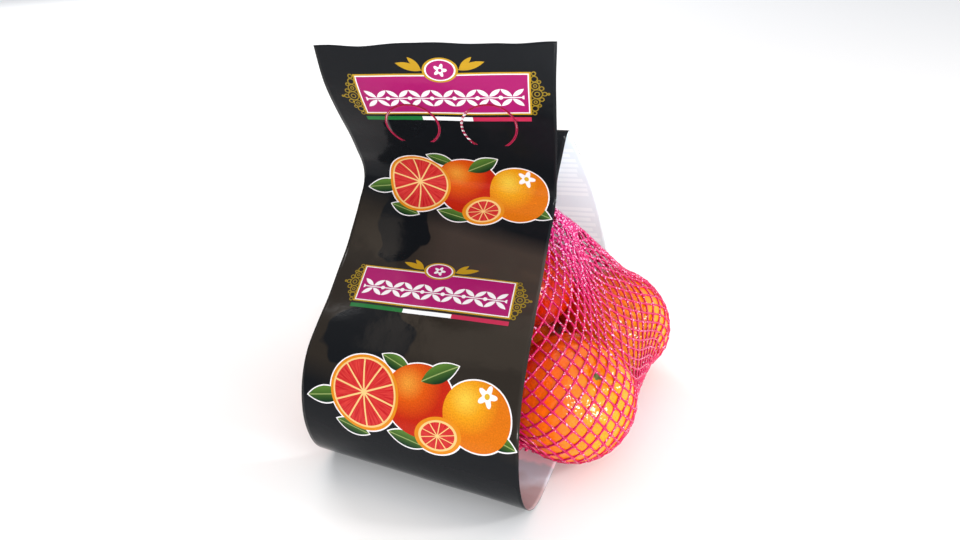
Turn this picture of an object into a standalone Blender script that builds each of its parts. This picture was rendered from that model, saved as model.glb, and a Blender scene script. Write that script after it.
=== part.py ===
"""Net of mandarins in a carry band, standing on a floor.

A band of printed film is bent into a standing loop.  It starts at the top edge of the
handle panel, comes down to a waist, runs out over the fruit as a shelf, turns round a
slack toe, lies flat under the fruit, turns up round the heel and leans forward as the
back.  The back's top folds over and is welded behind the waist.  The net inside is
gathered at that weld and drawn tight over eight fruits.

Frame: metres, +X across the band, -Y to the front, +Z up.  The origin is on the floor,
at the middle of the whole object's width and depth.
"""
import math

import bmesh
import bpy
import numpy as np
from mathutils import Vector

MM = 0.001
COLLECTION = "net_of_mandarins"
GUIDES = "guides_and_cutters"

# ---- driving dimensions, in millimetres ------------------------------------------------

BAND_WIDTH = 120.0            # the film's width, which scales the whole object
FILM = 0.5                    # film thickness, thickened from 0.1 mm to a sound solid
FLOOR_PLY = FILM / 2          # height of the film's middle where it lies on the floor
ORIGIN = Vector((5.2, -16.7, 0.0))  # the places below are measured from near the weld

# (y, z) of the film's middle along the handle, the waist, the shelf and the toe
FRONT = [(-22.2, 206.0), (-16.9, 186.7), (-7.8, 168.9), (2.2, 151.6), (8.9, 138.2),
         (13.2, 129.2), (14.3, 124.3), (13.8, 119.4), (11.6, 114.9), (4.2, 108.3),
         (-8.2, 99.8), (-21.8, 93.5), (-40.9, 87.8), (-59.6, 80.6), (-78.1, 73.0),
         (-95.2, 62.7), (-106.4, 46.5), (-109.7, 28.9), (-104.1, 12.1), (-94.0, 3.4),
         (-82.0, FLOOR_PLY)]
# under the fruit, flat on the floor
SOLE = [(-62.0, FLOOR_PLY), (-38.0, FLOOR_PLY), (-12.0, FLOOR_PLY), (14.0, FLOOR_PLY),
        (36.0, FLOOR_PLY)]
# round the heel and up the leaning back
BACK = [(52.0, 1.6), (68.0, 7.5), (79.0, 20.0), (82.5, 38.0), (79.0, 56.0), (70.5, 72.0),
        (61.3, 88.7), (51.1, 105.9), (39.5, 122.2), (27.9, 138.5), (18.8, 151.6)]
# the fold and the flap that hangs from it
FLAP = [(17.4, 154.4), (15.9, 155.3), (14.8, 153.7), (14.8, 141.0)]
WELD_STOPS = (5, 6, 7)        # the stops of FRONT that the flap's end lies behind
WELD_GAP = FILM + 0.3         # from the front film's middle to the flap's middle there
WELD_HEIGHT = 4.0             # the sealed line
WELD_INSET = 1.0              # the seal ends this far inside the film's edges

# (length along the film, value): sideways drift of the band's middle, and the slope of
# the line across it, backward (turn) and upward (tilt), which together twist the handle
DRIFT = [(0, -1.0), (60, -6.9), (95, -10.2), (125, -8.3), (160, -2.3), (230, 6.9),
         (400, 7.0), (500, 4.8), (600, -1.0), (624, -4.0)]
TURN = [(0, 0.26), (20, 0.175), (40, 0.095), (60, 0.027), (80, -0.022), (100, -0.053),
        (140, -0.069), (200, -0.084), (270, -0.118), (330, -0.09), (390, -0.02),
        (450, 0.0), (624, 0.0)]
TILT = [(0, -0.025), (40, 0.008), (60, -0.003), (80, -0.038), (100, -0.063),
        (120, -0.045), (140, 0.0), (175, 0.05), (215, 0.024), (250, 0.0), (270, 0.0),
        (440, 0.0), (460, 0.0), (600, 0.01), (624, 0.0)]

ROWS_PER_STOP = 3             # film rows between two stops
CELLS_ACROSS = 4
SAMPLES = 40                  # samples between two stops, for the smooth curve

# finger holes of the handle: three quarters of a ring each, cut but not yet pushed out
SLIT_RADIUS = 15.0
SLIT_KERF = 1.0
SLIT_ACROSS = (-19.0, 24.0)   # centres across the band
SLIT_DOWN = 50.5              # centres below the top edge, along the film
SLIT_HINGE = 70.0             # degrees left uncut at the bottom
SLIT_DEPTH = 4.0              # the cutter's depth, to pass through the film

# fruit: centre (x, y, z), radius, flatness along the axis, axis (x, y, z)
FRUITS = [((74.0, -50.0, 35.0), 33.0, 0.90, (0.35, -0.80, 0.50)),
          ((77.0, 37.0, 36.0), 34.0, 0.88, (0.55, 0.25, 0.80)),
          ((10.0, -37.0, 32.0), 30.0, 0.92, (-0.20, -0.40, 0.90)),
          ((-50.0, -40.0, 33.0), 31.0, 0.90, (-0.60, -0.50, 0.60)),
          ((2.0, 43.0, 32.0), 30.0, 0.92, (0.10, 0.30, 0.95)),
          ((-68.0, 44.0, 35.0), 33.0, 0.90, (-0.70, 0.50, 0.50)),
          ((31.0, 5.0, 70.0), 30.0, 0.93, (0.20, 0.10, 0.97)),
          ((-34.0, 6.0, 70.0), 30.0, 0.93, (-0.15, -0.10, 0.98))]
NET = 0.8                     # net thickness over the fruit
SAG_SHARE = 0.86              # the net sags no further than round fruits this much smaller
GATHER_X = (-66.0, 47.0)      # ends of the bunched top edge of the net, behind the waist
GATHER_Y = 18.0
GATHER_Z = 114.0
GATHER_THICK = 3.0
TONGUE_STOP = 7               # the stop of FRONT that the bunched net is sealed behind
TONGUE_WIDTH = 108.0
TONGUE_THICK = 1.6
TONGUE_BACK = 1.6             # from the front film's middle to the tongue's middle
TONGUE_TOP = -1.3             # its top edge, from that stop
TONGUE_FOOT = 96.0            # height of its lower edge, inside the net
NET_CELL = 6.3                # facet size of the net's skin
TENSION_ROUNDS = 8            # rounds of drawing tight and lying back on the fruit
TENSION_STEPS = 10

FILM_COLOUR = (0.012, 0.013, 0.015, 1.0)
NET_COLOUR = (0.72, 0.012, 0.155, 1.0)


# ---- scene ---------------------------------------------------------------------------

def clear_scene():
    """Remove what the opened file holds."""
    for thing in list(bpy.context.scene.objects):
        bpy.data.objects.remove(thing, do_unlink=True)


def collection(name, hidden=False):
    """Make a collection in the scene."""
    group = bpy.data.collections.new(name)
    bpy.context.scene.collection.children.link(group)
    group.hide_render = hidden
    return group


def material(name, colour, roughness):
    """Make a plain Principled material."""
    made = bpy.data.materials.new(name)
    made.use_nodes = True
    shader = made.node_tree.nodes["Principled BSDF"]
    shader.inputs["Base Color"].default_value = colour
    shader.inputs["Roughness"].default_value = roughness
    made.diffuse_color = colour
    return made


def add_object(name, bm, group, guide=False):
    """Turn a bmesh into an object of the group; guides show as wire only."""
    mesh = bpy.data.meshes.new(name)
    bm.to_mesh(mesh)
    bm.free()
    made = bpy.data.objects.new(name, mesh)
    group.objects.link(made)
    if guide:
        made.hide_render = True
        made.display_type = 'WIRE'
    return made


# ---- the band's shape ------------------------------------------------------------------

def smooth_path(stops, at):
    """Points on a smooth curve through the stops, at stop numbers that may be fractions."""
    stops = np.asarray(stops, dtype=float)
    step = np.diff(stops, axis=0)
    chord = np.maximum(np.linalg.norm(step, axis=1), 1e-6)[:, None]
    speed = step / chord
    slope = np.empty_like(stops)
    slope[0], slope[-1] = speed[0], speed[-1]
    slope[1:-1] = (speed[1:] * chord[:-1] + speed[:-1] * chord[1:]) / (chord[1:] + chord[:-1])
    index = np.clip(np.floor(at).astype(int), 0, len(stops) - 2)
    t = (at - index)[:, None]
    span = chord[index]
    start = stops[index] * (2 * t**3 - 3 * t**2 + 1) + slope[index] * span * (t**3 - 2 * t**2 + t)
    end = stops[index + 1] * (3 * t**2 - 2 * t**3) + slope[index + 1] * span * (t**3 - t**2)
    return start + end


def smooth_value(keys, at):
    """A value that runs smoothly through (length, value) keys."""
    number = np.linspace(0.0, len(keys) - 1.0, SAMPLES * len(keys))
    path = smooth_path(keys, number)
    return np.interp(at, path[:, 0], path[:, 1])


def with_weld(keys):
    """Keys that end as they are at the weld, so that the flap lies along the front film."""
    copied = [(LENGTH_OF_STOP[WELD_FIRST + i], smooth_value(keys, LENGTH_OF_STOP[stop]))
              for i, stop in enumerate(WELD_STOPS)]
    return keys + copied


STOPS = FRONT + SOLE + BACK + FLAP
WELD_FIRST = len(STOPS)
STOPS += [(FRONT[stop][0] + WELD_GAP, FRONT[stop][1]) for stop in WELD_STOPS]
LAST_STOP = len(STOPS) - 1
STATIONS = np.linspace(0.0, LAST_STOP, SAMPLES * LAST_STOP + 1)
MIDDLE = smooth_path(STOPS, STATIONS)
MIDDLE[:, 1] = np.maximum(MIDDLE[:, 1], FLOOR_PLY)
STEPS = np.linalg.norm(np.diff(MIDDLE, axis=0), axis=1)
LENGTH_AT = np.concatenate([[0.0], np.cumsum(STEPS)])
LENGTH_OF_STOP = LENGTH_AT[::SAMPLES]
DRIFT_AT = smooth_value(with_weld(DRIFT), LENGTH_AT)
TURN_AT = smooth_value(with_weld(TURN), LENGTH_AT)
TILT_AT = smooth_value(with_weld(TILT), LENGTH_AT)


def on_band(across, stop):
    """The point of the film's middle at a distance across and a stop number, in metres."""
    y, z, drift, turn, tilt = (np.interp(stop, STATIONS, column) for column in
                               (MIDDLE[:, 0], MIDDLE[:, 1], DRIFT_AT, TURN_AT, TILT_AT))
    cross = Vector((1.0, turn, tilt)).normalized()
    return (Vector((drift, y, z)) + cross * across - ORIGIN) * MM


def stop_at(length):
    """The stop number at a length along the film from the handle's top edge."""
    return float(np.interp(length, LENGTH_AT, STATIONS))


def bend_sheet(bm, place):
    """Bend a flat unit grid: place(u, v) gives the point for u, v from 0 to 1."""
    for vert in bm.verts:
        vert.co = place(vert.co.x + 0.5, vert.co.y + 0.5)


def sheet(name, group, cells, rows, place, thickness, guide=False):
    """A bent sheet with Solidify as its thickness."""
    bm = bmesh.new()
    bmesh.ops.create_grid(bm, x_segments=cells, y_segments=rows, size=0.5)
    bend_sheet(bm, place)
    bmesh.ops.recalc_face_normals(bm, faces=bm.faces)
    made = add_object(name, bm, group, guide)
    solid = made.modifiers.new("thickness", 'SOLIDIFY')
    solid.thickness = thickness * MM
    solid.offset = 0.0
    solid.use_even_offset = True
    return made


def join(target, other, operation):
    """A Boolean of the target with another object."""
    cut = target.modifiers.new(operation.lower() + "_" + other.name, 'BOOLEAN')
    cut.operation = operation
    cut.object = other
    cut.solver = 'EXACT'


def film_band(parts, guides):
    """The band: one long bent sheet, welded to itself at the waist, with two slits."""
    def whole(u, v):
        return on_band((u - 0.5) * BAND_WIDTH, v * LAST_STOP)

    band = sheet("film_band", parts, CELLS_ACROSS, ROWS_PER_STOP * LAST_STOP, whole, FILM)

    seal_width = BAND_WIDTH - 2 * WELD_INSET

    def seal(u, v):
        shift = Vector((0.0, WELD_GAP / 2, (0.5 - v) * WELD_HEIGHT)) * MM
        return on_band((u - 0.5) * seal_width, WELD_STOPS[1]) + shift

    weld = sheet("weld_seal", guides, CELLS_ACROSS, 1, seal, WELD_GAP, guide=True)
    join(band, weld, 'UNION')
    for number, across in enumerate(SLIT_ACROSS):
        join(band, slit_cutter(number, across, guides), 'DIFFERENCE')
    band.data.materials.append(material("black_film", FILM_COLOUR, 0.25))
    return band


def slit_cutter(number, across, guides):
    """A narrow ring sector that follows the film, open at its bottom."""
    sweep = math.radians(360.0 - SLIT_HINGE)
    first = math.radians(90.0 + SLIT_HINGE / 2)

    def ring(u, v):
        angle = first + v * sweep
        radius = SLIT_RADIUS + (u - 0.5) * SLIT_KERF
        down = SLIT_DOWN + radius * math.sin(angle)
        return on_band(across + radius * math.cos(angle), stop_at(down))

    return sheet("slit_%d" % number, guides, 1, 26, ring, SLIT_DEPTH, guide=True)


# ---- the net ---------------------------------------------------------------------------

def add_fruits(bm, share=1.0):
    """Add the fruits as flattened balls, a net's thickness larger, at a share of that."""
    for centre, radius, flat, axis in FRUITS:
        ball = bmesh.ops.create_icosphere(bm, subdivisions=4, radius=1.0)["verts"]
        turn = Vector((0.0, 0.0, 1.0)).rotation_difference(Vector(axis)).to_matrix()
        wide = (radius + NET) * share
        high = (radius * flat + NET) * share
        for vert in ball:
            local = Vector((vert.co.x * wide, vert.co.y * wide, vert.co.z * high))
            vert.co = (turn @ local + Vector(centre) - ORIGIN) * MM


def add_gather(bm):
    """Add the net's bunched top edge behind the waist as a thin bar."""
    low, high = GATHER_X
    bar = bmesh.ops.create_cube(bm, size=1.0)["verts"]
    size = Vector((high - low, GATHER_THICK, GATHER_THICK))
    middle = Vector(((low + high) / 2, GATHER_Y, GATHER_Z - GATHER_THICK / 2)) - ORIGIN
    for vert in bar:
        vert.co = (vert.co * size + middle) * MM


def fruit_guide(guides):
    """The fruits, which hold the net out."""
    bm = bmesh.new()
    add_fruits(bm)
    return add_object("fruit_guide", bm, guides, guide=True)


def stretched(name, group, share, guide=False):
    """A skin stretched without any sag over the fruits and up to the gather."""
    bm = bmesh.new()
    add_fruits(bm, share)
    add_gather(bm)
    bmesh.ops.delete(bm, geom=bm.edges[:], context='EDGES_FACES')
    hull = bmesh.ops.convex_hull(bm, input=bm.verts)
    inside = [item for item in hull["geom_interior"] if isinstance(item, bmesh.types.BMVert)]
    bmesh.ops.delete(bm, geom=inside, context='VERTS')
    bmesh.ops.recalc_face_normals(bm, faces=bm.faces)
    return add_object(name, bm, group, guide)


def net_tongue(guides):
    """The flat end of the bunched net, running up behind the waist to the seal."""
    def place(u, v):
        top = on_band((u - 0.5) * TONGUE_WIDTH, TONGUE_STOP)
        top += Vector((0.0, TONGUE_BACK, TONGUE_TOP)) * MM
        foot = Vector((top.x, (GATHER_Y - ORIGIN.y) * MM, TONGUE_FOOT * MM))
        return top.lerp(foot, v)

    return sheet("net_tongue", guides, CELLS_ACROSS, 2, place, TONGUE_THICK, guide=True)


def mandarin_net(parts, guides):
    """The net: stretched over the load, then drawn tight into the hollows between fruits."""
    holders = (fruit_guide(guides), stretched("sag_guide", guides, SAG_SHARE, guide=True))
    net = stretched("mandarin_net", parts, 1.0)
    remesh = net.modifiers.new("even_facets", 'REMESH')
    remesh.mode = 'VOXEL'
    remesh.voxel_size = NET_CELL * MM
    for number in range(TENSION_ROUNDS):
        pull = net.modifiers.new("tension_%d" % number, 'SMOOTH')
        pull.factor = 0.5
        pull.iterations = TENSION_STEPS
        for holder in holders:
            lie = net.modifiers.new("lie_%d_%s" % (number, holder.name), 'SHRINKWRAP')
            lie.target = holder
            lie.wrap_method = 'NEAREST_SURFACEPOINT'
            lie.wrap_mode = 'OUTSIDE'
    join(net, net_tongue(guides), 'UNION')
    net.data.materials.append(material("net_strands", NET_COLOUR, 0.35))
    return net


def main():
    clear_scene()
    parts = collection(COLLECTION)
    guides = collection(GUIDES, hidden=True)
    film_band(parts, guides)
    mandarin_net(parts, guides)


main()
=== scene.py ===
"""Net of mandarins in a carry band: the looks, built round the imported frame.

Lengths are millimetres, turned to metres where a mesh is placed.  Lamps, the camera and
patterns on Object coordinates are in metres.  The frame's +X runs across the band, -Y is
the front with the handle panel, +Z is up.
"""
import math

import bmesh
import bpy
import numpy as np
from mathutils import Matrix, Vector, noise
from mathutils.bvhtree import BVHTree


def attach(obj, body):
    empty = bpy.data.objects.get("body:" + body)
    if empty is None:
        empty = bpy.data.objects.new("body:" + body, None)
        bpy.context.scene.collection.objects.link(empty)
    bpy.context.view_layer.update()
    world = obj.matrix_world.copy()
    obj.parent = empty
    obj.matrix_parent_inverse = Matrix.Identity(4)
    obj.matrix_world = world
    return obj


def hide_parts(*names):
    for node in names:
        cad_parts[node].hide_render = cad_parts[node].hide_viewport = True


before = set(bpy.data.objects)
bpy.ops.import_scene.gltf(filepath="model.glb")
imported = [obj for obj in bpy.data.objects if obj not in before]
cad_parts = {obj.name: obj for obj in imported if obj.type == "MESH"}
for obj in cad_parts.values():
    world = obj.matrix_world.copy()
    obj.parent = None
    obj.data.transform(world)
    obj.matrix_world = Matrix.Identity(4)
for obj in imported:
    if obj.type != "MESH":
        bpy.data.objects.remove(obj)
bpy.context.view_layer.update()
MM = 0.001


# ---- film band ---------------------------------------
# One strip of polyethylene film, 0.1 mm thick in the real pack, printed black outside and
# left white inside.  It is bent into a loop that stands on its sole, and its end is folded
# and heat-sealed behind the waist.  Two rings are die-cut as finger holes.

BAND_WIDTH = 120.0
FILM_SHOWN = 0.3              # a little thinner than the solid it stands for
FLOOR_PLY = 0.25              # height of the film's middle where it lies on the floor
ORIGIN = np.array((5.2, -16.7, 0.0))    # the frame's origin, as the stops measure places

# (y, z) of the film's middle, as the solid has them
FRONT = [(-22.2, 206.0), (-16.9, 186.7), (-7.8, 168.9), (2.2, 151.6), (8.9, 138.2),
         (13.2, 129.2), (14.3, 124.3), (13.8, 119.4), (11.6, 114.9), (4.2, 108.3),
         (-8.2, 99.8), (-21.8, 93.5), (-40.9, 87.8), (-59.6, 80.6), (-78.1, 73.0),
         (-95.2, 62.7), (-106.4, 46.5), (-109.7, 28.9), (-104.1, 12.1), (-94.0, 3.4),
         (-82.0, FLOOR_PLY)]
SOLE = [(-62.0, FLOOR_PLY), (-38.0, FLOOR_PLY), (-12.0, FLOOR_PLY), (14.0, FLOOR_PLY),
        (36.0, FLOOR_PLY)]
BACK = [(52.0, 1.6), (68.0, 7.5), (79.0, 20.0), (82.5, 38.0), (79.0, 56.0), (70.5, 72.0),
        (61.3, 88.7), (51.1, 105.9), (39.5, 122.2), (27.9, 138.5), (18.8, 151.6)]
FLAP = [(17.4, 154.4), (15.9, 155.3), (14.8, 153.7), (14.8, 141.0)]
WELD_STOPS = (5, 6, 7)        # the stops of FRONT that the flap's end lies behind
WELD_GAP = 0.8                # from the front film's middle to the flap's

# (length along the film, value): drift of the band's middle, turn and tilt across it
DRIFT = [(0, -1.0), (60, -6.9), (95, -10.2), (125, -8.3), (160, -2.3), (230, 6.9),
         (400, 7.0), (500, 4.8), (600, -1.0), (624, -4.0)]
TURN = [(0, 0.26), (20, 0.175), (40, 0.095), (60, 0.027), (80, -0.022), (100, -0.053),
        (140, -0.069), (200, -0.084), (270, -0.118), (330, -0.09), (390, -0.02),
        (450, 0.0), (624, 0.0)]
TILT = [(0, -0.025), (40, 0.008), (60, -0.003), (80, -0.038), (100, -0.063),
        (120, -0.045), (140, 0.0), (175, 0.05), (215, 0.024), (250, 0.0), (270, 0.0),
        (440, 0.0), (460, 0.0), (600, 0.01), (624, 0.0)]
SAMPLES = 40                  # samples between two stops


def smooth_path(stops, at):
    """Points on a smooth curve through the stops, at stop numbers that may be fractions."""
    stops = np.asarray(stops, dtype=float)
    step = np.diff(stops, axis=0)
    chord = np.maximum(np.linalg.norm(step, axis=1), 1e-6)[:, None]
    speed = step / chord
    slope = np.empty_like(stops)
    slope[0], slope[-1] = speed[0], speed[-1]
    slope[1:-1] = (speed[1:] * chord[:-1] + speed[:-1] * chord[1:]) / (chord[1:] + chord[:-1])
    index = np.clip(np.floor(at).astype(int), 0, len(stops) - 2)
    t = (at - index)[:, None]
    span = chord[index]
    start = stops[index] * (2 * t**3 - 3 * t**2 + 1) + slope[index] * span * (t**3 - 2 * t**2 + t)
    end = stops[index + 1] * (3 * t**2 - 2 * t**3) + slope[index + 1] * span * (t**3 - t**2)
    return start + end


def smooth_value(keys, at):
    """A value that runs smoothly through (length, value) keys."""
    path = smooth_path(keys, np.linspace(0.0, len(keys) - 1.0, SAMPLES * len(keys)))
    return np.interp(at, path[:, 0], path[:, 1])


def with_weld(keys):
    """Keys that end as they are at the weld, so that the flap lies along the front film."""
    return keys + [(LENGTH_OF_STOP[WELD_FIRST + i], smooth_value(keys, LENGTH_OF_STOP[stop]))
                   for i, stop in enumerate(WELD_STOPS)]


STOPS = FRONT + SOLE + BACK + FLAP
WELD_FIRST = len(STOPS)
STOPS += [(FRONT[stop][0] + WELD_GAP, FRONT[stop][1]) for stop in WELD_STOPS]
MIDDLE = smooth_path(STOPS, np.linspace(0.0, len(STOPS) - 1.0, SAMPLES * (len(STOPS) - 1) + 1))
MIDDLE[:, 1] = np.maximum(MIDDLE[:, 1], FLOOR_PLY)
LENGTH_AT = np.concatenate([[0.0], np.cumsum(np.linalg.norm(np.diff(MIDDLE, axis=0), axis=1))])
LENGTH_OF_STOP = LENGTH_AT[::SAMPLES]
FILM_LENGTH = LENGTH_AT[-1]
DRIFT_AT, TURN_AT, TILT_AT = (smooth_value(with_weld(keys), LENGTH_AT)
                              for keys in (DRIFT, TURN, TILT))


def flat_band(across, length):
    """Points of the unwrinkled film's middle, in millimetres of the frame."""
    drift, y, z, turn, tilt = (np.interp(length, LENGTH_AT, column) for column in
                               (DRIFT_AT, MIDDLE[:, 0], MIDDLE[:, 1], TURN_AT, TILT_AT))
    cross = np.stack([np.ones_like(turn), turn, tilt], axis=-1)
    cross /= np.linalg.norm(cross, axis=-1, keepdims=True)
    return np.stack([drift, y, z], axis=-1) + cross * np.asarray(across)[..., None] - ORIGIN


def band_normal(across, length):
    """Unit vectors out of the printed face."""
    step = 0.5
    along = flat_band(across, length + step) - flat_band(across, length - step)
    side = flat_band(across + step, length) - flat_band(across - step, length)
    out = np.cross(along, side)
    return out / np.linalg.norm(out, axis=-1, keepdims=True)


# (length, height) of the film's soft ripples: none on the sole or at the seal, and less
# where the film passes close over the net
RIPPLE = [(0, 0.9), (30, 0.7), (60, 0.5), (78, 0.0), (100, 0.0), (125, 0.25), (160, 0.5),
          (200, 0.9), (240, 0.8), (275, 0.3), (300, 0.0), (445, 0.0), (480, 0.3), (520, 0.5),
          (570, 0.5), (600, 0.2), (615, 0.0), (700, 0.0)]
RIPPLE_WIDE, RIPPLE_LONG = 34.0, 52.0   # size of a ripple across and along
RIPPLE_PLANE = 3.7                      # the plane of the noise that the ripples follow


def band(across, length):
    """Points of the rippled film's middle, in millimetres of the frame."""
    across, length = np.broadcast_arrays(np.asarray(across, float), np.asarray(length, float))
    height = np.interp(length, *zip(*RIPPLE))
    wave = np.array([noise.noise(Vector((w / RIPPLE_WIDE, s / RIPPLE_LONG, RIPPLE_PLANE)))
                     for w, s in zip(across.ravel(), length.ravel())]).reshape(across.shape)
    out = band_normal(across, length)
    return flat_band(across, length) + out * (height * wave)[..., None]


def bend(bm, place):
    """Move the points of a flat unit grid to place(u, v), which takes arrays from 0 to 1."""
    verts = list(bm.verts)
    flat = np.array([vert.co[:2] for vert in verts]) + 0.5
    for vert, spot in zip(verts, place(flat[:, 0], flat[:, 1])):
        vert.co = spot * MM


def new_piece(name, bm, *materials):
    """Make the bmesh an object of the scene with these materials, shaded smooth."""
    mesh = bpy.data.meshes.new(name)
    bm.to_mesh(mesh)
    bm.free()
    for made in materials:
        mesh.materials.append(made)
    for face in mesh.polygons:
        face.use_smooth = True
    piece = bpy.data.objects.new(name, mesh)
    bpy.context.scene.collection.objects.link(piece)
    return piece


def linear(hex_colour):
    """A colour as RGBA in linear light, from its sRGB hex digits."""
    parts = [int(hex_colour[i:i + 2], 16) / 255 for i in (0, 2, 4)]
    return (*[p / 12.92 if p <= 0.04045 else ((p + 0.055) / 1.055) ** 2.4 for p in parts], 1.0)


# Sockets go by number.  Math and VectorMath take their values from 0 up, MapRange turns 0
# from the range 1 to 2 into the range 3 to 4, and Mix lays 7 over 6 where the mask 0 is 1.
def add(tree, kind, links=(), out=0, **settings):
    """Add a node with its settings and its sockets' values or links; return one output."""
    made = tree.nodes.new("ShaderNode" + kind)
    for setting, value in settings.items():
        setattr(made, setting, value)
    for socket, value in dict(links).items():
        if isinstance(value, bpy.types.NodeSocket):
            tree.links.new(value, made.inputs[socket])
        else:
            made.inputs[socket].default_value = value
    return made.outputs[out]


def new_material(name):
    """A Principled material; returns it, its node tree and its shader."""
    made = bpy.data.materials.new(name)
    made.use_nodes = True
    return made, made.node_tree, made.node_tree.nodes["Principled BSDF"]


def inked(tree, under, ink, mask):
    """Print an ink, as hex digits or a socket, over what lies under it, where the mask is 1."""
    colour = linear(ink) if isinstance(ink, str) else ink
    below = linear(under) if isinstance(under, str) else under
    return add(tree, "Mix", {0: mask, 6: below, 7: colour}, out=2, data_type='RGBA')


def laid(tree, place, centre, half=(1.0, 1.0), turn=0.0):
    """The print's place seen from a motif: its centre is 0 and its half size is 1."""
    return add(tree, "Mapping", {"Vector": place, "Location": (*centre, 0.0),
                                 "Rotation": (0.0, 0.0, math.radians(turn)),
                                 "Scale": (*half, 1.0)}, vector_type='TEXTURE')


def oval_margin(tree, place, centre, half, turn=0.0):
    """How far a place lies outside an oval, in millimetres; negative inside."""
    seen = laid(tree, place, centre, half, turn)
    reach = add(tree, "VectorMath", {0: seen}, out=1, operation='LENGTH')
    return add(tree, "Math", {0: reach, 1: min(half), 2: -min(half)}, operation='MULTIPLY_ADD')


def leaf_margin(tree, place, centre, half, turn=0.0):
    """How far a place lies outside a pointed leaf, in millimetres."""
    seen = laid(tree, place, centre, half, turn)
    x, y, _ = add(tree, "SeparateXYZ", {0: seen}).node.outputs
    square = add(tree, "Math", {0: x, 1: x}, operation='MULTIPLY')
    high = add(tree, "Math", {0: y}, operation='ABSOLUTE')
    reach = add(tree, "Math", {0: square, 1: high}, operation='ADD')
    return add(tree, "Math", {0: reach, 1: half[1], 2: -half[1]}, operation='MULTIPLY_ADD')


def box_margin(tree, place, centre, half):
    """How far a place lies outside a rectangle, in millimetres."""
    seen = laid(tree, place, centre)
    apart = add(tree, "VectorMath", {0: seen}, operation='ABSOLUTE')
    beyond = add(tree, "VectorMath", {0: apart, 1: (*half, 0.0)}, operation='SUBTRACT')
    x, y, _ = add(tree, "SeparateXYZ", {0: beyond}).node.outputs
    return add(tree, "Math", {0: x, 1: y}, operation='MAXIMUM')


def within(tree, margin, limit=0.0):
    """1 where the margin is below the limit."""
    return add(tree, "Math", {0: margin, 1: limit}, operation='LESS_THAN')


def away_from(tree, value, middle):
    """How far a value lies from a middle one, to either side."""
    off = add(tree, "Math", {0: value, 1: middle}, operation='SUBTRACT')
    return add(tree, "Math", {0: off}, operation='ABSOLUTE')


def both(tree, first, second):
    """1 where both masks are 1."""
    return add(tree, "Math", {0: first, 1: second}, operation='MULTIPLY')


PRINT_REPEAT = 138.8          # the print comes twice, this far apart along the film
PRINT_END = 277.0
GOLD, DIM_GOLD, KEYLINE, MAGENTA = "B08A1F", "8C7420", "E2DEE0", "9A1C60"
GREEN_BAR, WHITE_BAR, RED_BAR = "206B34", "E6E8EA", "B1294A"
# the sign, measured across from the film's middle and along from its top: centres and
# half sizes, and for leaves a turn in degrees
PANEL_AT, PANEL_HALF = (2.0, 29.0), (45.5, 13.0)
MEDAL_AT, MEDAL_HALF = (2.3, 14.4), (9.2, 6.7)
MEDAL_BLOSSOM = 3.6           # the radius of the blossom in the medallion
BORDERS = ((0.0, GOLD), (-0.9, KEYLINE), (-1.5, MAGENTA))   # from the rim inwards
SPRAY = (((15.8, 12.3), (7.0, 1.9), -17.0), ((12.9, 10.6), (4.6, 1.4), -46.0))
ROW_AT, ROW_HALF = (2.0, 31.0), (42.0, 8.0)
ROW_CELL = 6.0                # half the row's repeat: a leaf, a dot and the stem in a quarter
ROW_LEAF = (3.0, 3.0), (3.7, 1.3), 38.0
ROW_DOT = (ROW_CELL, 0.0), (1.2, 1.2)
ROW_STEM = (3.0, 0.0), (3.0, 0.3)
STRIPE_AT, STRIPE_HALF = (1.5, 44.9), (45.6, 1.35)
STRIPE_WHITE, STRIPE_RED = -12.0, 16.0  # where the stripe turns white and red
# centre, from the panel's, and radius of the fine rings at its sides
FILIGREE = [(48.5, 0.0, 2.7), (48.5, 0.0, 1.2), (52.3, 0.0, 1.1), (54.3, 0.0, 0.5),
            (47.6, 5.0, 2.1), (47.6, 5.0, 0.8), (50.8, 3.4, 1.1), (47.2, 9.0, 1.6),
            (49.6, 7.3, 0.8), (46.9, 12.0, 1.0)]
FILIGREE_LINE = 0.27          # half the width of their line


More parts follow.
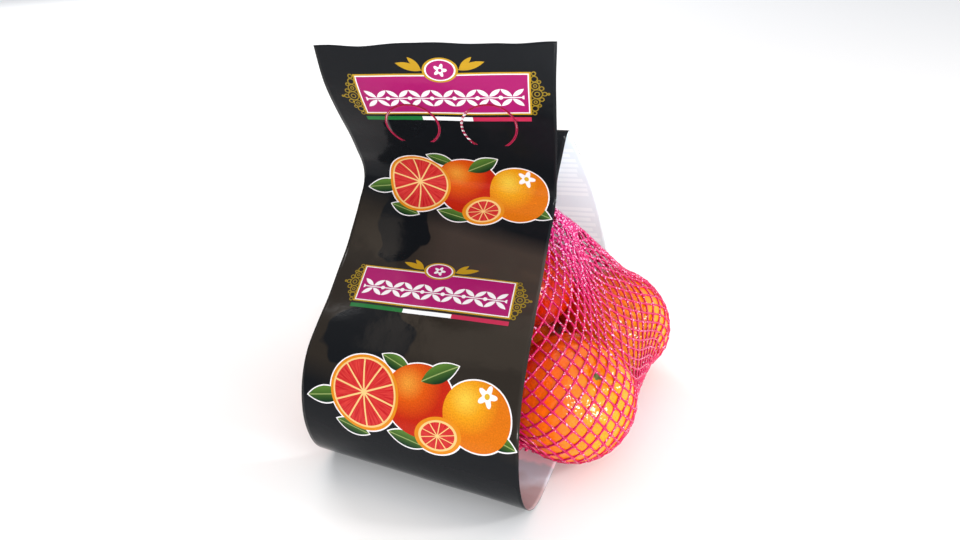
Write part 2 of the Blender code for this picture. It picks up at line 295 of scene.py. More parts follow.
def sign_print(tree, place, colour):
    """The sign: a panel and medallion with borders, sprays, fine rings and a stripe."""
    mirrored = add(tree, "VectorMath", {0: laid(tree, place, PANEL_AT)}, operation='ABSOLUTE')
    for x, y, radius in FILIGREE:
        ring = oval_margin(tree, mirrored, (x, y), (radius, radius))
        off_line = add(tree, "Math", {0: ring}, operation='ABSOLUTE')
        colour = inked(tree, colour, DIM_GOLD, within(tree, off_line, FILIGREE_LINE))
    # two gold leaves on each side of the medallion
    beside = laid(tree, place, (MEDAL_AT[0], 0.0))
    beside = add(tree, "VectorMath", {0: beside}, operation='ABSOLUTE')
    for leaf in SPRAY:
        colour = inked(tree, colour, GOLD, within(tree, leaf_margin(tree, beside, *leaf)))
    # panel and medallion: gold border, white keyline, magenta field
    for margin in (box_margin(tree, place, PANEL_AT, PANEL_HALF),
                   oval_margin(tree, place, MEDAL_AT, MEDAL_HALF)):
        for inset, ink in BORDERS:
            colour = inked(tree, colour, ink, within(tree, margin, inset))
    # along the panel a plain row in white: leaf pairs on a stem, with a dot between pairs
    x, y, _ = add(tree, "SeparateXYZ", {0: laid(tree, place, ROW_AT)}).node.outputs
    along = add(tree, "Math", {0: x, 1: ROW_CELL}, operation='PINGPONG')
    apart = add(tree, "Math", {0: y}, operation='ABSOLUTE')
    cell = add(tree, "CombineXYZ", {0: along, 1: apart})
    inside = within(tree, box_margin(tree, place, ROW_AT, ROW_HALF))
    for margin in (leaf_margin(tree, cell, *ROW_LEAF), oval_margin(tree, cell, *ROW_DOT),
                   box_margin(tree, cell, *ROW_STEM)):
        colour = inked(tree, colour, KEYLINE, both(tree, inside, within(tree, margin)))
    colour = blossom_print(tree, place, colour, MEDAL_AT, MEDAL_BLOSSOM, MAGENTA)
    # the three-coloured stripe under the panel
    stripe = within(tree, box_margin(tree, place, STRIPE_AT, STRIPE_HALF))
    x, _, _ = add(tree, "SeparateXYZ", {0: place}).node.outputs
    bars = GREEN_BAR
    for ink, start in ((WHITE_BAR, STRIPE_WHITE), (RED_BAR, STRIPE_RED)):
        right = add(tree, "Math", {0: x, 1: start}, operation='GREATER_THAN')
        bars = inked(tree, bars, ink, right)
    return inked(tree, colour, bars, stripe)


def polar(tree, seen):
    """The angle and the distance at which a place is seen from a motif's centre."""
    x, y, _ = add(tree, "SeparateXYZ", {0: seen}).node.outputs
    angle = add(tree, "Math", {0: y, 1: x}, operation='ARCTAN2')
    return angle, add(tree, "VectorMath", {0: seen}, out=1, operation='LENGTH')


PETALS = 5
PETAL_NOTCH, HEART = 0.26, 0.26   # as shares of the blossom's radius


def blossom_print(tree, place, colour, centre, radius, heart):
    """A white blossom with a coloured heart."""
    angle, reach = polar(tree, laid(tree, place, centre, (radius, radius)))
    angle = add(tree, "Math", {0: angle, 1: PETALS}, operation='MULTIPLY')
    wave = add(tree, "Math", {0: angle}, operation='COSINE')
    rim = add(tree, "Math", {0: wave, 1: PETAL_NOTCH, 2: 1.0 - PETAL_NOTCH},
              operation='MULTIPLY_ADD')
    colour = inked(tree, colour, KEYLINE, within(tree, reach, rim))
    return inked(tree, colour, heart, within(tree, reach, HEART))


LIT_SPOT = (-0.35, -0.40, 0.0)    # where a printed fruit is brightest, in its half sizes


def peel_print(tree, place, margin, colour, centre, half, lit, body, shade):
    """A whole printed fruit: bright where the light falls, dark at its lower rim."""
    seen = laid(tree, place, centre, half)
    away = add(tree, "VectorMath", {0: seen, 1: LIT_SPOT}, out=1, operation='DISTANCE')
    ramp = add(tree, "ValToRGB", {0: away}).node
    for element, spot, ink in zip(ramp.color_ramp.elements, (0.05, 1.0), (lit, shade)):
        element.position = spot
        element.color = linear(ink)
    ramp.color_ramp.elements.new(0.5).color = linear(body)
    pores = add(tree, "TexNoise", {"Vector": place, "Scale": 1.4, "Detail": 2.0})
    speckle = add(tree, "MapRange", {0: pores, 1: 0.35, 2: 0.7, 3: 0.85, 4: 1.1})
    dotted = add(tree, "Mix", {0: 1.0, 6: ramp.outputs[0], 7: speckle}, out=2,
                 data_type='RGBA', blend_type='MULTIPLY')
    return inked(tree, colour, dotted, within(tree, margin))


RIND, PITH, PULP_DARK, PULP_LIGHT = "CC7E1C", "DDB878", "A80F1E", "CA3F38"
PITH_FROM, PULP_FROM = -1.5, -2.4   # inwards from the rim, in millimetres
SEGMENTS, RAYS = 10, 9.0            # segments in all, rays of the pulp for each radian
WALL, CORE = 0.022, 0.07            # half a segment's wall and the bare core, as shares


def wheel_print(tree, place, margin, colour, centre, half, turn=0.0):
    """A cut face: rind, pale pith, and segments of red-orange pulp with fine rays."""
    colour = inked(tree, colour, RIND, within(tree, margin))
    colour = inked(tree, colour, PITH, within(tree, margin, PITH_FROM))
    angle, reach = polar(tree, laid(tree, place, centre, half, turn))
    off_wall = add(tree, "Math", {0: angle, 1: math.pi / SEGMENTS}, operation='PINGPONG')
    room = add(tree, "Math", {0: off_wall, 1: reach}, operation='MULTIPLY')
    around = add(tree, "Math", {0: angle, 1: RAYS}, operation='MULTIPLY')
    rays_at = add(tree, "CombineXYZ", {0: around, 1: reach})
    rays = add(tree, "TexNoise", {"Vector": rays_at, "Scale": 2.2, "Detail": 3.0})
    pulp = inked(tree, PULP_DARK, PULP_LIGHT, add(tree, "MapRange", {0: rays, 1: 0.3, 2: 0.7}))
    flesh = add(tree, "Math", {0: room, 1: WALL}, operation='GREATER_THAN')
    off_core = add(tree, "Math", {0: reach, 1: CORE}, operation='GREATER_THAN')
    disc = both(tree, within(tree, margin, PULP_FROM), off_core)
    return inked(tree, colour, pulp, both(tree, flesh, disc))


LEAF_LIGHT, LEAF_DARK, LEAF_RIB = "4E702C", "14301A", "86985A"
RIB = 0.06                          # half the midrib, as a share of the leaf's half width


def leaf_print(tree, place, margin, colour, centre, half, turn):
    """A printed leaf: dark green, lighter on one side of its pale midrib."""
    seen = laid(tree, place, centre, half, turn)
    _, y, _ = add(tree, "SeparateXYZ", {0: seen}).node.outputs
    green = inked(tree, LEAF_LIGHT, LEAF_DARK, add(tree, "MapRange", {0: y, 1: -0.8, 2: 0.8}))
    high = add(tree, "Math", {0: y}, operation='ABSOLUTE')
    green = inked(tree, green, LEAF_RIB, within(tree, high, RIB))
    return inked(tree, colour, green, within(tree, margin))


# the citrus group, in the order of printing: kind, centre, half size, turn, and the three
# tones of a whole fruit; its leaves, fruit, cut faces and blossom are a generic design
CITRUS = [("leaf", (-45.0, 99.0), (11.0, 4.2), -12.0), ("leaf", (-29.0, 112.0), (9.5, 3.6), 12.0),
          ("leaf", (2.0, 111.0), (10.5, 3.8), 8.0), ("leaf", (49.5, 101.0), (9.5, 3.8), 14.0),
          ("leaf", (-7.0, 76.0), (9.0, 3.8), 20.0),
          ("fruit", (8.0, 91.5), (19.0, 17.2), 0.0, ("D68A30", "C8500F", "AE2410")),
          ("fruit", (38.5, 93.0), (17.2, 15.8), 0.0, ("DBB43E", "D69018", "C96A12")),
          ("leaf", (17.5, 77.5), (10.5, 4.6), -30.0),
          ("wheel", (-22.5, 93.5), (19.6, 18.6), 12.0),
          ("wheel", (19.0, 105.5), (12.6, 8.6), -14.0)]
CITRUS_BLOSSOM = (43.0, 83.5), 5.2, "C9A22A"    # centre, radius, heart
WHITE_RIM = 0.65              # the white margin left round the group


def citrus_print(tree, place, colour):
    """The citrus group with its white margin."""
    margins = [(leaf_margin if kind == "leaf" else oval_margin)(tree, place, centre, half, turn)
               for kind, centre, half, turn, *_ in CITRUS]
    for margin in margins:
        colour = inked(tree, colour, KEYLINE, within(tree, margin, WHITE_RIM))
    for margin, (kind, centre, half, turn, *tones) in zip(margins, CITRUS):
        if kind == "leaf":
            colour = leaf_print(tree, place, margin, colour, centre, half, turn)
        elif kind == "fruit":
            colour = peel_print(tree, place, margin, colour, centre, half, *tones[0])
        else:
            colour = wheel_print(tree, place, margin, colour, centre, half, turn)
    return blossom_print(tree, place, colour, *CITRUS_BLOSSOM)


RING_RADIUS, RING_KERF = 15.0, 0.15
RING_HINGE = 70.0             # degrees left uncut at the bottom, where the tab hinges
RING_AT = ((-19.0, 50.5), (24.0, 50.5))
RING_INK, RING_LINE = "A01C40", 0.65    # the cutting line's colour, and half its width
# the pale gaps in it: half their spacing, half their length, and how far right they go
GAP_SPACING, GAP_LENGTH, GAPS_RIGHT = 1.4, 0.6, -11.0


def ring_print(tree, place, colour):
    """The crimson cutting line of each finger hole, open at the bottom, with pale gaps."""
    low = RING_RADIUS * math.cos(math.radians(RING_HINGE / 2))
    for centre, gaps in zip(RING_AT, (False, True)):
        seen = laid(tree, place, centre)
        reach = add(tree, "VectorMath", {0: seen}, out=1, operation='LENGTH')
        x, y, _ = add(tree, "SeparateXYZ", {0: seen}).node.outputs
        line = within(tree, away_from(tree, reach, RING_RADIUS), RING_LINE)
        line = both(tree, within(tree, y, low), line)
        colour = inked(tree, colour, RING_INK, line)
        if gaps:
            off_gap = add(tree, "Math", {0: y, 1: GAP_SPACING}, operation='PINGPONG')
            pale = both(tree, within(tree, off_gap, GAP_LENGTH), within(tree, x, GAPS_RIGHT))
            colour = inked(tree, colour, KEYLINE, both(tree, line, pale))
    return colour


BAR_PITCH = 4.6
BAR_HALF, THROUGH_HALF = 0.7, 1.45          # half a bar's height, and as it shows through
BARS_RIGHT, BARS_RAGGED = 57.5, -5.0        # where the bars end, and how far that varies
BAR_BLOCKS = (((10.0, 533.6), (48.0, 20.7)), ((10.0, 588.8), (48.0, 25.3)))  # centre, half size


def bar_mask(tree, uv, half_width):
    """1 on the two blocks of plain bars on the back."""
    x, y, _ = add(tree, "SeparateXYZ", {0: uv}).node.outputs
    line = add(tree, "Math", {0: y, 1: BAR_PITCH / 2}, operation='PINGPONG')
    count = add(tree, "Math", {0: y, 1: BAR_PITCH}, operation='DIVIDE')
    number = add(tree, "Math", {0: count}, operation='ROUND')
    ragged = add(tree, "TexWhiteNoise", {"W": number}, noise_dimensions='1D')
    right = add(tree, "Math", {0: ragged, 1: BARS_RAGGED, 2: BARS_RIGHT},
                operation='MULTIPLY_ADD')
    bars = both(tree, within(tree, line, half_width), within(tree, x, right))
    upper, lower = (within(tree, box_margin(tree, uv, *block)) for block in BAR_BLOCKS)
    return both(tree, bars, add(tree, "Math", {0: upper, 1: lower}, operation='MAXIMUM'))


# Polyethylene film printed black by flexography: a smooth gloss of slightly uneven roughness,
# with coloured inks under the same varnish, and a painted warm-brown reflection on the slack
# shelf.
# the black, the two warm browns of the painted reflection on the shelf, and the back's bars
BLACK, THIN_PAINTED_REFLECTION, THICK_PAINTED_REFLECTION, BACK_BAR = "121417", "29241F", "3E3530", "5C5F64"
SHELF_AT, SHELF_SLANT = 175.0, -0.15        # the middle of the shelf that carries the painted reflection, and its slant
PATCHES_WITHOUT_REFLECTION = (((-19.0, 131.0), (16.0, 24.0)), ((-19.0, 212.0), (27.0, 18.0)))
WAIST_AT = 96.0

printed_film, tree, shader = new_material("printed_polyethylene_film")
uv = add(tree, "UVMap", uv_map="film")
across, along, _ = add(tree, "SeparateXYZ", {0: uv}).node.outputs
down = add(tree, "Math", {0: along, 1: PRINT_REPEAT}, operation='MODULO')
place = add(tree, "CombineXYZ", {0: across, 1: down})
# painted reflection: the slack shelf between the waist and the toe is painted warm brown, with
# sharp-edged patches left black
slanted = add(tree, "Math", {0: across, 1: SHELF_SLANT, 2: along}, operation='MULTIPLY_ADD')
painted_reflection_mask = add(tree, "MapRange", {0: away_from(tree, slanted, SHELF_AT), 1: 66.0, 2: 52.0})
stirred = add(tree, "TexNoise", {"Vector": uv, "Scale": 0.06, "Detail": 1.0}, out=1)
off_place = add(tree, "VectorMath", {0: stirred, 1: (16.0, 16.0, 0.0), 2: uv},
                operation='MULTIPLY_ADD')
for centre, half in PATCHES_WITHOUT_REFLECTION:
    clear = oval_margin(tree, off_place, centre, half)
    painted_reflection_mask = both(tree, painted_reflection_mask, add(tree, "MapRange", {0: clear, 1: -0.4, 2: 0.6}))
# the painted reflection is stronger high up on the right
high_up = add(tree, "MapRange", {0: slanted, 1: 185.0, 2: 150.0})
rightward = add(tree, "MapRange", {0: across, 1: -25.0, 2: 5.0})
painted_reflection_tint = inked(tree, THIN_PAINTED_REFLECTION, THICK_PAINTED_REFLECTION, both(tree, high_up, rightward))
# the painted reflection laid over the black film
black_and_painted_reflection = inked(tree, BLACK, painted_reflection_tint, painted_reflection_mask)
motifs = citrus_print(tree, place, sign_print(tree, place, black_and_painted_reflection))
motifs = inked(tree, black_and_painted_reflection, motifs, within(tree, along, PRINT_END))
motifs = inked(tree, motifs, BACK_BAR, bar_mask(tree, uv, BAR_HALF))
tree.links.new(ring_print(tree, uv, motifs), shader.inputs["Base Color"])
uneven = add(tree, "TexNoise", {"Vector": uv, "Scale": 0.03, "Detail": 3.0})
tree.links.new(add(tree, "MapRange", {0: uneven, 1: 0.3, 2: 0.7, 3: 0.08, 4: 0.2}),
               shader.inputs["Roughness"])
shader.inputs["IOR"].default_value = 1.22
crease = add(tree, "TexNoise", {"Vector": uv, "Scale": 0.09, "Detail": 4.0, "Roughness": 0.5})
# shallow folds run across the band where it is drawn in at the waist
stretched = laid(tree, uv, (0.0, 0.0), (46.0, 7.0))
folds = add(tree, "TexNoise", {"Vector": stretched, "Scale": 1.0, "Detail": 2.0,
                               "Distortion": 0.6})
drawn_in = add(tree, "MapRange", {0: away_from(tree, along, WAIST_AT), 1: 30.0, 2: 6.0, 4: 0.8})
relief = add(tree, "Math", {0: folds, 1: drawn_in, 2: crease}, operation='MULTIPLY_ADD')
tree.links.new(add(tree, "Bump", {"Height": relief, "Distance": 0.0006, "Strength": 0.35}),
               shader.inputs["Normal"])

# The unprinted inner face: cold white film through which the bars of the back show paler,
# with painted grey-brown shade in the toe and a painted pink reflection of the net beside it.
PALE_BAR, TOP_WHITE, BACK_WHITE = "ECFAFC", "ECEEF2", "E0F0F4"
PAINTED_FROM, PAINTED_TO = 208.0, 368.0         # the lengths that the stops below run between
# stops of the painted grey-brown and grey shade in the toe, and of the net's painted pink
# reflection
PAINTED_SHADE_AND_REFLECTION = ((0.2, "AF9B9C"), (0.655, "AF9B9C"), (0.725, "CFD4DE"), (0.772, "CFD4DE"),
         (0.79, "FFE0E8"), (0.875, "FFE0E8"))

white_film, tree, shader = new_material("white_polyethylene_film")
uv = add(tree, "UVMap", uv_map="film")
_, along, _ = add(tree, "SeparateXYZ", {0: uv}).node.outputs
mottle = add(tree, "TexNoise", {"Vector": uv, "Scale": 0.09, "Detail": 2.0})
shifted = add(tree, "Math", {0: mottle, 1: 16.0, 2: along}, operation='MULTIPLY_ADD')
reach = add(tree, "MapRange", {0: shifted, 1: PAINTED_FROM, 2: PAINTED_TO})
# painted shade and painted reflection along the inner face, with ragged edges from the noise
painted_shade_ramp = add(tree, "ValToRGB", {0: reach}).node
for spot, ink in PAINTED_SHADE_AND_REFLECTION:
    painted_shade_ramp.color_ramp.elements.new(spot).color = linear(ink)
painted_shade_ramp.color_ramp.elements[0].color = linear(TOP_WHITE)
painted_shade_ramp.color_ramp.elements[-1].color = linear(BACK_WHITE)
inner = inked(tree, painted_shade_ramp.outputs[0], PALE_BAR, bar_mask(tree, uv, THROUGH_HALF))
tree.links.new(inner, shader.inputs["Base Color"])
crease = add(tree, "TexNoise", {"Vector": uv, "Scale": 0.09, "Detail": 4.0, "Roughness": 0.5})
tree.links.new(add(tree, "Bump", {"Height": crease, "Distance": 0.0006, "Strength": 0.35}),
               shader.inputs["Normal"])
shader.inputs["Roughness"].default_value = 0.22
shader.inputs["IOR"].default_value = 1.5

FILM_COLUMNS, FILM_ROWS = 60, 480
# the cut along the top: how low it is, how uneven, and how far down that is evened out
CUT_LOW, CUT_UNEVEN, CUT_REACH = 0.8, 1.6, 12.0
CUT_AT = np.linspace(0.0, 1.0, 101)
CUT_WAVE = np.array([noise.noise(Vector((u * 5.0, 0.0, 1.3))) for u in CUT_AT])

bm = bmesh.new()
bmesh.ops.create_grid(bm, x_segments=FILM_COLUMNS, y_segments=FILM_ROWS, size=0.5)
film_uv = bm.loops.layers.uv.new("film")
for face in bm.faces:
    for loop in face.loops:
        loop[film_uv].uv = (loop.vert.co.x * BAND_WIDTH, (loop.vert.co.y + 0.5) * FILM_LENGTH)


def film_place(u, v):
    """The film's middle, with a slightly uneven cut along the top edge."""
    low = CUT_LOW + CUT_UNEVEN * np.interp(u, CUT_AT, CUT_WAVE)
    length = v * FILM_LENGTH
    return band((u - 0.5) * BAND_WIDTH, length + low * np.maximum(0.0, 1.0 - length / CUT_REACH))


bend(bm, film_place)
bmesh.ops.reverse_faces(bm, faces=bm.faces)
film = new_piece("film_band_shell", bm, printed_film, white_film)
wall = film.modifiers.new("film_thickness", 'SOLIDIFY')
wall.thickness = FILM_SHOWN * MM
wall.offset = 0.0
wall.use_even_offset = True
wall.material_offset = 1

DIE_DEPTH = 3.0


def ring_cutter(number, centre):
    """The ring die of one finger hole: a thin strip through the film, open at the bottom."""
    sweep = math.radians(360.0 - RING_HINGE)
    first = math.radians(90.0 + RING_HINGE / 2)

    def strip(u, v):
        angle = first + v * sweep
        radius = RING_RADIUS + (u - 0.5) * RING_KERF
        return band(centre[0] + radius * np.cos(angle), centre[1] + radius * np.sin(angle))

    bm = bmesh.new()
    bmesh.ops.create_grid(bm, x_segments=1, y_segments=60, size=0.5)
    bend(bm, strip)
    cutter = new_piece("ring_die_%d" % number, bm)
    depth = cutter.modifiers.new("depth", 'SOLIDIFY')
    depth.thickness = DIE_DEPTH * MM
    depth.offset = 0.0
    return cutter


cutters = [ring_cutter(number, centre) for number, centre in enumerate(RING_AT)]
for cutter in cutters:
    cut = film.modifiers.new(cutter.name, 'BOOLEAN')
    cut.operation = 'DIFFERENCE'
    cut.object = cutter
    cut.solver = 'EXACT'


def settled(piece, *helpers):
    """The piece as a plain mesh object, as its modifiers or its bevel make it."""
    bpy.context.view_layer.update()
    finished = piece.evaluated_get(bpy.context.evaluated_depsgraph_get())
    plain = bpy.data.objects.new("plain", bpy.data.meshes.new_from_object(finished))
    bpy.context.scene.collection.objects.link(plain)
    name = piece.name
    for done in (piece, *helpers):
        bpy.data.objects.remove(done)
    plain.name = plain.data.name = name
    return plain


film = settled(film, *cutters)
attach(film, "root")
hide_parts("film_band")


# ---- mandarins ---------------------------------------
# Eight loose mandarins, flattened at the poles, with a waxed peel full of oil glands.
# They lie in the net in two layers and hold it out.

# centre (x, y, z), radius, flatness, the axis that it is flattened along, stalk direction
FRUITS = [((74.0, -50.0, 35.0), 33.0, 0.90, (0.35, -0.80, 0.50), (0.55, -0.36, 0.75)),
          ((77.0, 37.0, 36.0), 34.0, 0.88, (0.55, 0.25, 0.80), (-0.55, -0.25, -0.80)),
          ((10.0, -37.0, 32.0), 30.0, 0.92, (-0.20, -0.40, 0.90), (-0.20, -0.40, 0.90)),
          ((-50.0, -40.0, 33.0), 31.0, 0.90, (-0.60, -0.50, 0.60), (-0.60, -0.50, 0.60)),
          ((20.0, 41.8, 32.6), 27.0, 0.95, (0.10, 0.30, 0.95), (0.10, 0.30, 0.95)),
          ((-68.0, 44.0, 35.0), 33.0, 0.90, (-0.70, 0.50, 0.50), (-0.70, 0.50, 0.50)),
          ((31.0, 5.0, 70.0), 30.0, 0.93, (0.20, 0.10, 0.97), (-0.30, 0.50, 0.80)),
          ((-34.0, 6.0, 70.0), 30.0, 0.93, (-0.15, -0.10, 0.98), (-0.15, -0.10, 0.98))]

# the peel's dents and swellings, as shares of its radius
MEAN_REACH, STALK_DENT, BLOSSOM_DENT = 0.985, 0.085, 0.045
CREASE, LOBE, BUMP, FINE_BUMP = 0.010, 0.003, 0.010, 0.003
# how far from its pole each of them reaches, in radians
STALK_SPREAD, SHOULDER_AT, SHOULDER_SPREAD, BLOSSOM_SPREAD = 0.20, 0.42, 0.22, 0.22


def to_stalk(number):
    """The matrix that turns +Z to a fruit's stalk and sets it in place, in millimetres."""
    centre, _, _, _, stalk = FRUITS[number]
    turn = Vector((0.0, 0.0, 1.0)).rotation_difference(Vector(stalk)).to_matrix().to_4x4()
    return Matrix.Translation(Vector(centre) - Vector(ORIGIN)) @ turn


def flattened(spot, number):
    """The spot, in millimetres from a fruit's centre, once the fruit is flattened."""
    _, _, flat, axis, _ = FRUITS[number]
    axis = Vector(axis).normalized()
    return spot - axis * (spot.dot(axis) * (1.0 - flat))


def peel_radius(direction, number):
    """The peel's radius as a share of the full one: lobes, dimples, creases and bumps."""
    polar_angle = math.acos(max(-1.0, min(1.0, direction.z)))
    round_axis = math.atan2(direction.y, direction.x)
    stalk = math.exp(-(polar_angle / STALK_SPREAD) ** 2)
    shoulder = math.exp(-((polar_angle - SHOULDER_AT) / SHOULDER_SPREAD) ** 2)
    blossom = math.exp(-((math.pi - polar_angle) / BLOSSOM_SPREAD) ** 2)
    creases = math.cos((8 + number % 3) * round_axis + number) * shoulder
    lobes = math.cos((9 + number % 2) * round_axis + 2 * number) * math.sin(polar_angle) ** 2
    bumps = noise.noise(direction * 2.2 + Vector((number * 7.1, 0.0, 0.0)))
    fine = noise.noise(direction * 9.0 + Vector((0.0, number * 5.3, 0.0)))
    return (MEAN_REACH - STALK_DENT * stalk - BLOSSOM_DENT * blossom + CREASE * creases
            + LOBE * lobes + BUMP * bumps + FINE_BUMP * fine)


bm = bmesh.new()
for number, (centre, radius, *_) in enumerate(FRUITS):
    ball = bmesh.ops.create_icosphere(bm, subdivisions=6, radius=1.0)["verts"]
    turn = to_stalk(number).to_3x3()
    for vert in ball:
        reach = peel_radius(vert.co.normalized(), number) * radius
        spot = flattened(turn @ vert.co * reach, number)
        vert.co = (spot + Vector(centre) - Vector(ORIGIN)) * MM

# Mandarin peel: orange wax over oil glands a little over 1 mm apart, which pit the surface
# and break up its highlights.  Painted shade makes it redder towards the band, painted light
# makes it yellower outward and below, and random patches vary its own tone.
RED_PEEL_AND_PAINTED_SHADE, YELLOW_PEEL_AND_PAINTED_LIGHT = "D62803", "F88E04"
PAINTED_LIGHT_OUTWARD = {1: 0.052, 2: 0.1, 4: 0.95}   # from the middle plane out, in metres
PAINTED_LIGHT_LOW = {1: 0.06, 2: 0.01, 4: 0.38}    # from this height down, in metres
PIT_DEPTH = 0.00045           # in metres

peel, tree, shader = new_material("mandarin_peel")
where = add(tree, "TexCoord", out=3)
x, _, z = add(tree, "SeparateXYZ", {0: where}).node.outputs
# painted light and shade: yellower outward and low down, redder towards the band, then random
# patches
sideways = add(tree, "Math", {0: x}, operation='ABSOLUTE')
lit_outward = add(tree, "MapRange", {0: sideways, **PAINTED_LIGHT_OUTWARD})
low = add(tree, "MapRange", {0: z, **PAINTED_LIGHT_LOW})
patches = add(tree, "TexNoise", {"Vector": where, "Scale": 30.0, "Detail": 3.0})
painted_light_and_patches = add(tree, "Math", {0: lit_outward, 1: low}, operation='ADD')
painted_light_and_patches = add(tree, "Math", {0: patches, 1: 0.6, 2: painted_light_and_patches}, operation='MULTIPLY_ADD')
painted_light_and_patches = add(tree, "Math", {0: painted_light_and_patches, 1: 0.3}, operation='SUBTRACT', use_clamp=True)
skin = inked(tree, RED_PEEL_AND_PAINTED_SHADE, YELLOW_PEEL_AND_PAINTED_LIGHT, painted_light_and_patches)
glands = add(tree, "TexVoronoi", {"Vector": where, "Scale": 750.0}, feature='SMOOTH_F1')
pit = add(tree, "MapRange", {0: glands, 2: 0.55})
skin = add(tree, "Mix", {0: 0.2, 6: skin, 7: pit}, out=2, data_type='RGBA',
           blend_type='MULTIPLY')
tree.links.new(skin, shader.inputs["Base Color"])
lumps = add(tree, "TexNoise", {"Vector": where, "Scale": 300.0, "Detail": 1.0})
relief = add(tree, "Math", {0: pit, 1: 0.2, 2: lumps}, operation='MULTIPLY_ADD')
tree.links.new(add(tree, "Bump", {"Height": relief, "Distance": PIT_DEPTH, "Strength": 1.0}),
               shader.inputs["Normal"])
shader.inputs["Roughness"].default_value = 0.15
shader.inputs["IOR"].default_value = 1.45
shader.inputs["Subsurface Weight"].default_value = 0.12
shader.inputs["Subsurface Radius"].default_value = (1.0, 0.35, 0.08)
shader.inputs["Subsurface Scale"].default_value = 0.003

mandarins = new_piece("mandarins", bm, peel)
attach(mandarins, "root")
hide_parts("mandarin_net")


# ---- stalk buttons -----------------------------------
# The dry green calyx that stays on each fruit when it is clipped from its stalk: a flat
# five-pointed star with the stub of the stalk in its middle.

CALYX_RADIUS, CALYX_THICK, CALYX_POINTS = 3.4, 0.9, 5
CALYX_MEAN, CALYX_LOBE = 0.8, 0.14      # shares of the radius: the mean one, and its lobes
CALYX_WAVE = 0.25             # how far its points curl up
STUB_RADIUS, STUB_HEIGHT = 1.3, 2.2 * CALYX_THICK
BUTTON_EDGE, SHARP = 0.25, 0.6          # rounding of its edges, and the least bend for it

bm = bmesh.new()
for number, (_, radius, *_) in enumerate(FRUITS):
    from_centre = to_stalk(number)
    up = from_centre.to_3x3() @ Vector((0.0, 0.0, 1.0))
    reach = peel_radius(Vector((0.0, 0.0, 1.0)), number) * radius
    foot = flattened(up * reach, number).length
    seat = from_centre @ Matrix.Translation((0.0, 0.0, foot + 0.3 * CALYX_THICK))
    star = bmesh.ops.create_cone(bm, segments=20, radius1=CALYX_RADIUS, radius2=CALYX_RADIUS * 0.9,
                                 depth=CALYX_THICK, cap_ends=True, matrix=seat)["verts"]
    back = seat.inverted()
    for vert in star:
        local = back @ vert.co
        angle = math.atan2(local.y, local.x)
        lobe = math.cos(CALYX_POINTS * angle + number) + 0.5 * math.cos(3 * angle + 2 * number)
        spread = CALYX_MEAN + CALYX_LOBE * lobe
        vert.co = seat @ Vector((local.x * spread, local.y * spread,
                                 local.z + CALYX_WAVE * lobe))
    bmesh.ops.create_cone(bm, segments=12, radius1=STUB_RADIUS, radius2=STUB_RADIUS * 0.8,
                          depth=STUB_HEIGHT, cap_ends=True, matrix=seat)
for vert in bm.verts:
    vert.co *= MM
edges = [edge for edge in bm.edges if edge.calc_face_angle(0.0) > SHARP]
bmesh.ops.bevel(bm, geom=edges, offset=BUTTON_EDGE * MM, affect='EDGES', segments=2,
                profile=0.5, material=-1)

# Dried calyx: matt grey-green, browner where it has dried out.
calyx, tree, shader = new_material("dried_calyx")
where = add(tree, "TexCoord", out=3)
dried = add(tree, "TexNoise", {"Vector": where, "Scale": 600.0, "Detail": 3.0})
tree.links.new(inked(tree, "3F6420", "7A6A3A", dried), shader.inputs["Base Color"])
tree.links.new(add(tree, "Bump", {"Height": dried, "Distance": 0.0003, "Strength": 0.5}),
               shader.inputs["Normal"])
shader.inputs["Roughness"].default_value = 0.7

calyxes = new_piece("stalk_buttons", bm, calyx)
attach(calyxes, "root")
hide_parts("mandarin_net")


# ---- net ---------------------------------------------
# A tube of knotted polyethylene net with diamond meshes, drawn tight over the fruit.  Its
# top is bunched along the waist and runs up into the seal, and its lower end is bunched
# on the sole under the fruit.

NET_COLUMNS, NET_ROWS, SEAL_ROWS = 66, 42, 4    # knots round the tube; half meshes up it
LEG = 7.6                     # a strand from knot to knot
STRAND_RADIUS, KNOT = 0.48, 1.7         # a strand's radius, and how many times that a knot's is
SKIN_SINK = 0.75              # the net's middle lies this far under the solid's skin
TONGUE_FOOT = 114.5           # above this height the solid is the flat tongue of the seal
SWEEPS, LEG_PASSES = 60, 12   # rounds of drawing the legs to length and laying them on
STIFF_LONG, STIFF_SHORT, STRAIGHTEN, EVEN_OUT = 0.12, 0.05, 0.14, 0.03
CRUMPLE = 1.5                 # how far the bunched strands stand behind each other
COARSE, FINE = 0.45, 1.3      # waves of the crumple to a millimetre
STRAY_WAVE = 0.5
HUG = 0.8                     # how closely the middle of a leg follows the skin

# rings of the slack tube, from the hem to the gather: share of the way up, centre
# (x, y, z), half width, half depth
TUBE = [(0.00, (2.0, -42.0, 3.2), 64.0, 0.5), (0.10, (0.0, -2.0, 2.0), 92.0, 45.0),
        (0.20, (0.0, 12.0, 10.0), 104.0, 76.0), (0.35, (0.0, 14.0, 34.0), 110.0, 84.0),
        (0.50, (0.0, 16.0, 56.0), 104.0, 76.0), (0.65, (-2.0, 22.0, 76.0), 92.0, 58.0),
        (0.80, (-6.0, 28.0, 94.0), 76.0, 36.0), (0.92, (-11.0, 33.0, 108.0), 61.0, 8.0),
        (1.00, (-15.0, 34.0, 112.0), 55.0, 0.7)]
TOP_FLATTENS, TOP_SPAN, FOOT_SPAN = 0.8, 0.2, 0.1   # shares of the way up
SQUARISH = 0.75               # the power that makes the tube's section squarer than an oval
SEAL_LENGTH, SEAL_BEHIND, SEAL_BELOW = 95.0, 1.6, 2.1   # the bunch's end, from the film
SEAL_WIDTH, SEAL_HALF_DEPTH = 107.0, 0.5


